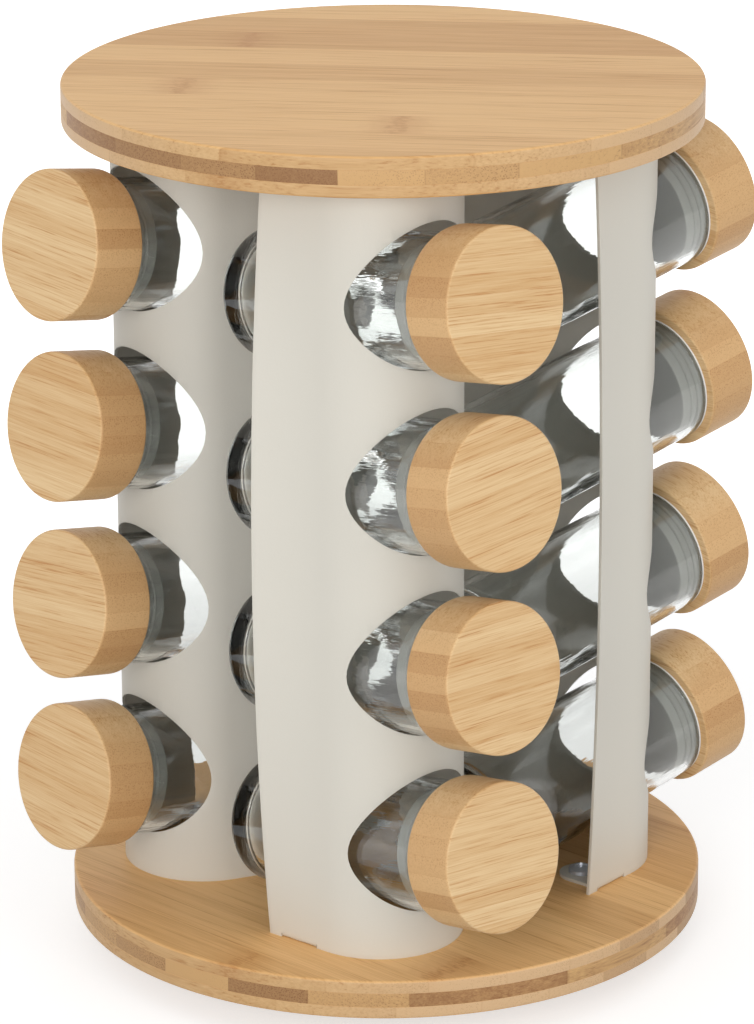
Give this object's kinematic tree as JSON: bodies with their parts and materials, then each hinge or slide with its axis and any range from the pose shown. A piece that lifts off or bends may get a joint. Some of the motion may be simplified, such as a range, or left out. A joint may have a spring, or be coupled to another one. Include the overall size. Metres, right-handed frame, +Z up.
{
  "type": "rotating spice rack",
  "caption": "Free-standing carousel for spice jars: two round bamboo boards, bent sheet steel towers with tilted openings, lidded glass jars that slide out, and a ball bearing under the base.",
  "frame": {"origin": "on the turning axis, on the surface that the rubber feet stand on", "axes": "+Z up along the turning axis; the front tower's jars point along -Y, the right tower's along +X, the back tower's along +Y and the left tower's along -X"},
  "size_m": [0.1978, 0.1978, 0.2696],
  "materials": {
    "bamboo_board": "satin lacquer",
    "bamboo_lid": "satin lacquer",
    "powder_coat": "fine matte powder coat",
    "zinc_screw": "bright zinc",
    "aluminium_ring": "satin",
    "steel_ball": "polished",
    "nylon_cage": "plain moulded",
    "rubber_foot": "matte",
    "clear_glass": "clear",
    "seal_silicone": "smooth silicone"
  },
  "bodies": {
    "stand": {"bearing_stand_ring": "aluminium_ring", "rubber_feet": "rubber_foot"},
    "ball_ring": {"bearing_balls": "steel_ball", "ball_cage": "nylon_cage"},
    "carousel": {"top_disc": "bamboo_board", "base_disc": "bamboo_board", "tower_front": "powder_coat", "tower_right": "powder_coat", "tower_back": "powder_coat", "tower_left": "powder_coat", "wood_screws": "zinc_screw", "bearing_top_ring": "aluminium_ring"},
    "jar_front_1": {"glass_front_1": "clear_glass"},
    "cap_front_1": {"lid_front_1": "bamboo_lid", "seal_front_1": "seal_silicone"},
    "jar_front_2": {"glass_front_2": "clear_glass"},
    "cap_front_2": {"lid_front_2": "bamboo_lid", "seal_front_2": "seal_silicone"},
    "jar_front_3": {"glass_front_3": "clear_glass"},
    "cap_front_3": {"lid_front_3": "bamboo_lid", "seal_front_3": "seal_silicone"},
    "jar_front_4": {"glass_front_4": "clear_glass"},
    "cap_front_4": {"lid_front_4": "bamboo_lid", "seal_front_4": "seal_silicone"},
    "jar_right_1": {"glass_right_1": "clear_glass"},
    "cap_right_1": {"lid_right_1": "bamboo_lid", "seal_right_1": "seal_silicone"},
    "jar_right_2": {"glass_right_2": "clear_glass"},
    "cap_right_2": {"lid_right_2": "bamboo_lid", "seal_right_2": "seal_silicone"},
    "jar_right_3": {"glass_right_3": "clear_glass"},
    "cap_right_3": {"lid_right_3": "bamboo_lid", "seal_right_3": "seal_silicone"},
    "jar_right_4": {"glass_right_4": "clear_glass"},
    "cap_right_4": {"lid_right_4": "bamboo_lid", "seal_right_4": "seal_silicone"},
    "jar_back_1": {"glass_back_1": "clear_glass"},
    "cap_back_1": {"lid_back_1": "bamboo_lid", "seal_back_1": "seal_silicone"},
    "jar_back_2": {"glass_back_2": "clear_glass"},
    "cap_back_2": {"lid_back_2": "bamboo_lid", "seal_back_2": "seal_silicone"},
    "jar_back_3": {"glass_back_3": "clear_glass"},
    "cap_back_3": {"lid_back_3": "bamboo_lid", "seal_back_3": "seal_silicone"},
    "jar_back_4": {"glass_back_4": "clear_glass"},
    "cap_back_4": {"lid_back_4": "bamboo_lid", "seal_back_4": "seal_silicone"},
    "jar_left_1": {"glass_left_1": "clear_glass"},
    "cap_left_1": {"lid_left_1": "bamboo_lid", "seal_left_1": "seal_silicone"},
    "jar_left_2": {"glass_left_2": "clear_glass"},
    "cap_left_2": {"lid_left_2": "bamboo_lid", "seal_left_2": "seal_silicone"},
    "jar_left_3": {"glass_left_3": "clear_glass"},
    "cap_left_3": {"lid_left_3": "bamboo_lid", "seal_left_3": "seal_silicone"},
    "jar_left_4": {"glass_left_4": "clear_glass"},
    "cap_left_4": {"lid_left_4": "bamboo_lid", "seal_left_4": "seal_silicone"}
  },
  "joints": [
    {"name": "carousel_turn", "type": "hinge", "parent": "stand", "child": "carousel", "pos_m": [0, 0, 0], "axis": [0, 0, 1], "continuous": true},
    {"name": "ball_ring_turn", "type": "hinge", "parent": "stand", "child": "ball_ring", "pos_m": [0, 0, 0], "axis": [0, 0, 1], "continuous": true},
    {"name": "jar_front_1_slide", "type": "slide", "parent": "carousel", "child": "jar_front_1", "axis": [0, -0.9848, 0.1736], "range_m": [0, 0.09]},
    {"name": "cap_front_1_pull", "type": "slide", "parent": "jar_front_1", "child": "cap_front_1", "axis": [0, -0.9848, 0.1736], "range_m": [0, 0.03]},
    {"name": "jar_front_2_slide", "type": "slide", "parent": "carousel", "child": "jar_front_2", "axis": [0, -0.9848, 0.1736], "range_m": [0, 0.09]},
    {"name": "cap_front_2_pull", "type": "slide", "parent": "jar_front_2", "child": "cap_front_2", "axis": [0, -0.9848, 0.1736], "range_m": [0, 0.03]},
    {"name": "jar_front_3_slide", "type": "slide", "parent": "carousel", "child": "jar_front_3", "axis": [0, -0.9848, 0.1736], "range_m": [0, 0.09]},
    {"name": "cap_front_3_pull", "type": "slide", "parent": "jar_front_3", "child": "cap_front_3", "axis": [0, -0.9848, 0.1736], "range_m": [0, 0.03]},
    {"name": "jar_front_4_slide", "type": "slide", "parent": "carousel", "child": "jar_front_4", "axis": [0, -0.9848, 0.1736], "range_m": [0, 0.09]},
    {"name": "cap_front_4_pull", "type": "slide", "parent": "jar_front_4", "child": "cap_front_4", "axis": [0, -0.9848, 0.1736], "range_m": [0, 0.03]},
    {"name": "jar_right_1_slide", "type": "slide", "parent": "carousel", "child": "jar_right_1", "axis": [0.9848, 0, 0.1736], "range_m": [0, 0.09]},
    {"name": "cap_right_1_pull", "type": "slide", "parent": "jar_right_1", "child": "cap_right_1", "axis": [0.9848, 0, 0.1736], "range_m": [0, 0.03]},
    {"name": "jar_right_2_slide", "type": "slide", "parent": "carousel", "child": "jar_right_2", "axis": [0.9848, 0, 0.1736], "range_m": [0, 0.09]},
    {"name": "cap_right_2_pull", "type": "slide", "parent": "jar_right_2", "child": "cap_right_2", "axis": [0.9848, 0, 0.1736], "range_m": [0, 0.03]},
    {"name": "jar_right_3_slide", "type": "slide", "parent": "carousel", "child": "jar_right_3", "axis": [0.9848, 0, 0.1736], "range_m": [0, 0.09]},
    {"name": "cap_right_3_pull", "type": "slide", "parent": "jar_right_3", "child": "cap_right_3", "axis": [0.9848, 0, 0.1736], "range_m": [0, 0.03]},
    {"name": "jar_right_4_slide", "type": "slide", "parent": "carousel", "child": "jar_right_4", "axis": [0.9848, 0, 0.1736], "range_m": [0, 0.09]},
    {"name": "cap_right_4_pull", "type": "slide", "parent": "jar_right_4", "child": "cap_right_4", "axis": [0.9848, 0, 0.1736], "range_m": [0, 0.03]},
    {"name": "jar_back_1_slide", "type": "slide", "parent": "carousel", "child": "jar_back_1", "axis": [0, 0.9848, 0.1736], "range_m": [0, 0.09]},
    {"name": "cap_back_1_pull", "type": "slide", "parent": "jar_back_1", "child": "cap_back_1", "axis": [0, 0.9848, 0.1736], "range_m": [0, 0.03]},
    {"name": "jar_back_2_slide", "type": "slide", "parent": "carousel", "child": "jar_back_2", "axis": [0, 0.9848, 0.1736], "range_m": [0, 0.09]},
    {"name": "cap_back_2_pull", "type": "slide", "parent": "jar_back_2", "child": "cap_back_2", "axis": [0, 0.9848, 0.1736], "range_m": [0, 0.03]},
    {"name": "jar_back_3_slide", "type": "slide", "parent": "carousel", "child": "jar_back_3", "axis": [0, 0.9848, 0.1736], "range_m": [0, 0.09]},
    {"name": "cap_back_3_pull", "type": "slide", "parent": "jar_back_3", "child": "cap_back_3", "axis": [0, 0.9848, 0.1736], "range_m": [0, 0.03]},
    {"name": "jar_back_4_slide", "type": "slide", "parent": "carousel", "child": "jar_back_4", "axis": [0, 0.9848, 0.1736], "range_m": [0, 0.09]},
    {"name": "cap_back_4_pull", "type": "slide", "parent": "jar_back_4", "child": "cap_back_4", "axis": [0, 0.9848, 0.1736], "range_m": [0, 0.03]},
    {"name": "jar_left_1_slide", "type": "slide", "parent": "carousel", "child": "jar_left_1", "axis": [-0.9848, 0, 0.1736], "range_m": [0, 0.09]},
    {"name": "cap_left_1_pull", "type": "slide", "parent": "jar_left_1", "child": "cap_left_1", "axis": [-0.9848, 0, 0.1736], "range_m": [0, 0.03]},
    {"name": "jar_left_2_slide", "type": "slide", "parent": "carousel", "child": "jar_left_2", "axis": [-0.9848, 0, 0.1736], "range_m": [0, 0.09]},
    {"name": "cap_left_2_pull", "type": "slide", "parent": "jar_left_2", "child": "cap_left_2", "axis": [-0.9848, 0, 0.1736], "range_m": [0, 0.03]},
    {"name": "jar_left_3_slide", "type": "slide", "parent": "carousel", "child": "jar_left_3", "axis": [-0.9848, 0, 0.1736], "range_m": [0, 0.09]},
    {"name": "cap_left_3_pull", "type": "slide", "parent": "jar_left_3", "child": "cap_left_3", "axis": [-0.9848, 0, 0.1736], "range_m": [0, 0.03]},
    {"name": "jar_left_4_slide", "type": "slide", "parent": "carousel", "child": "jar_left_4", "axis": [-0.9848, 0, 0.1736], "range_m": [0, 0.09]},
    {"name": "cap_left_4_pull", "type": "slide", "parent": "jar_left_4", "child": "cap_left_4", "axis": [-0.9848, 0, 0.1736], "range_m": [0, 0.03]}
  ],
  "couplings": [
    {"joint": "ball_ring_turn", "follows": "carousel_turn", "ratio": 0.5}
  ]
}
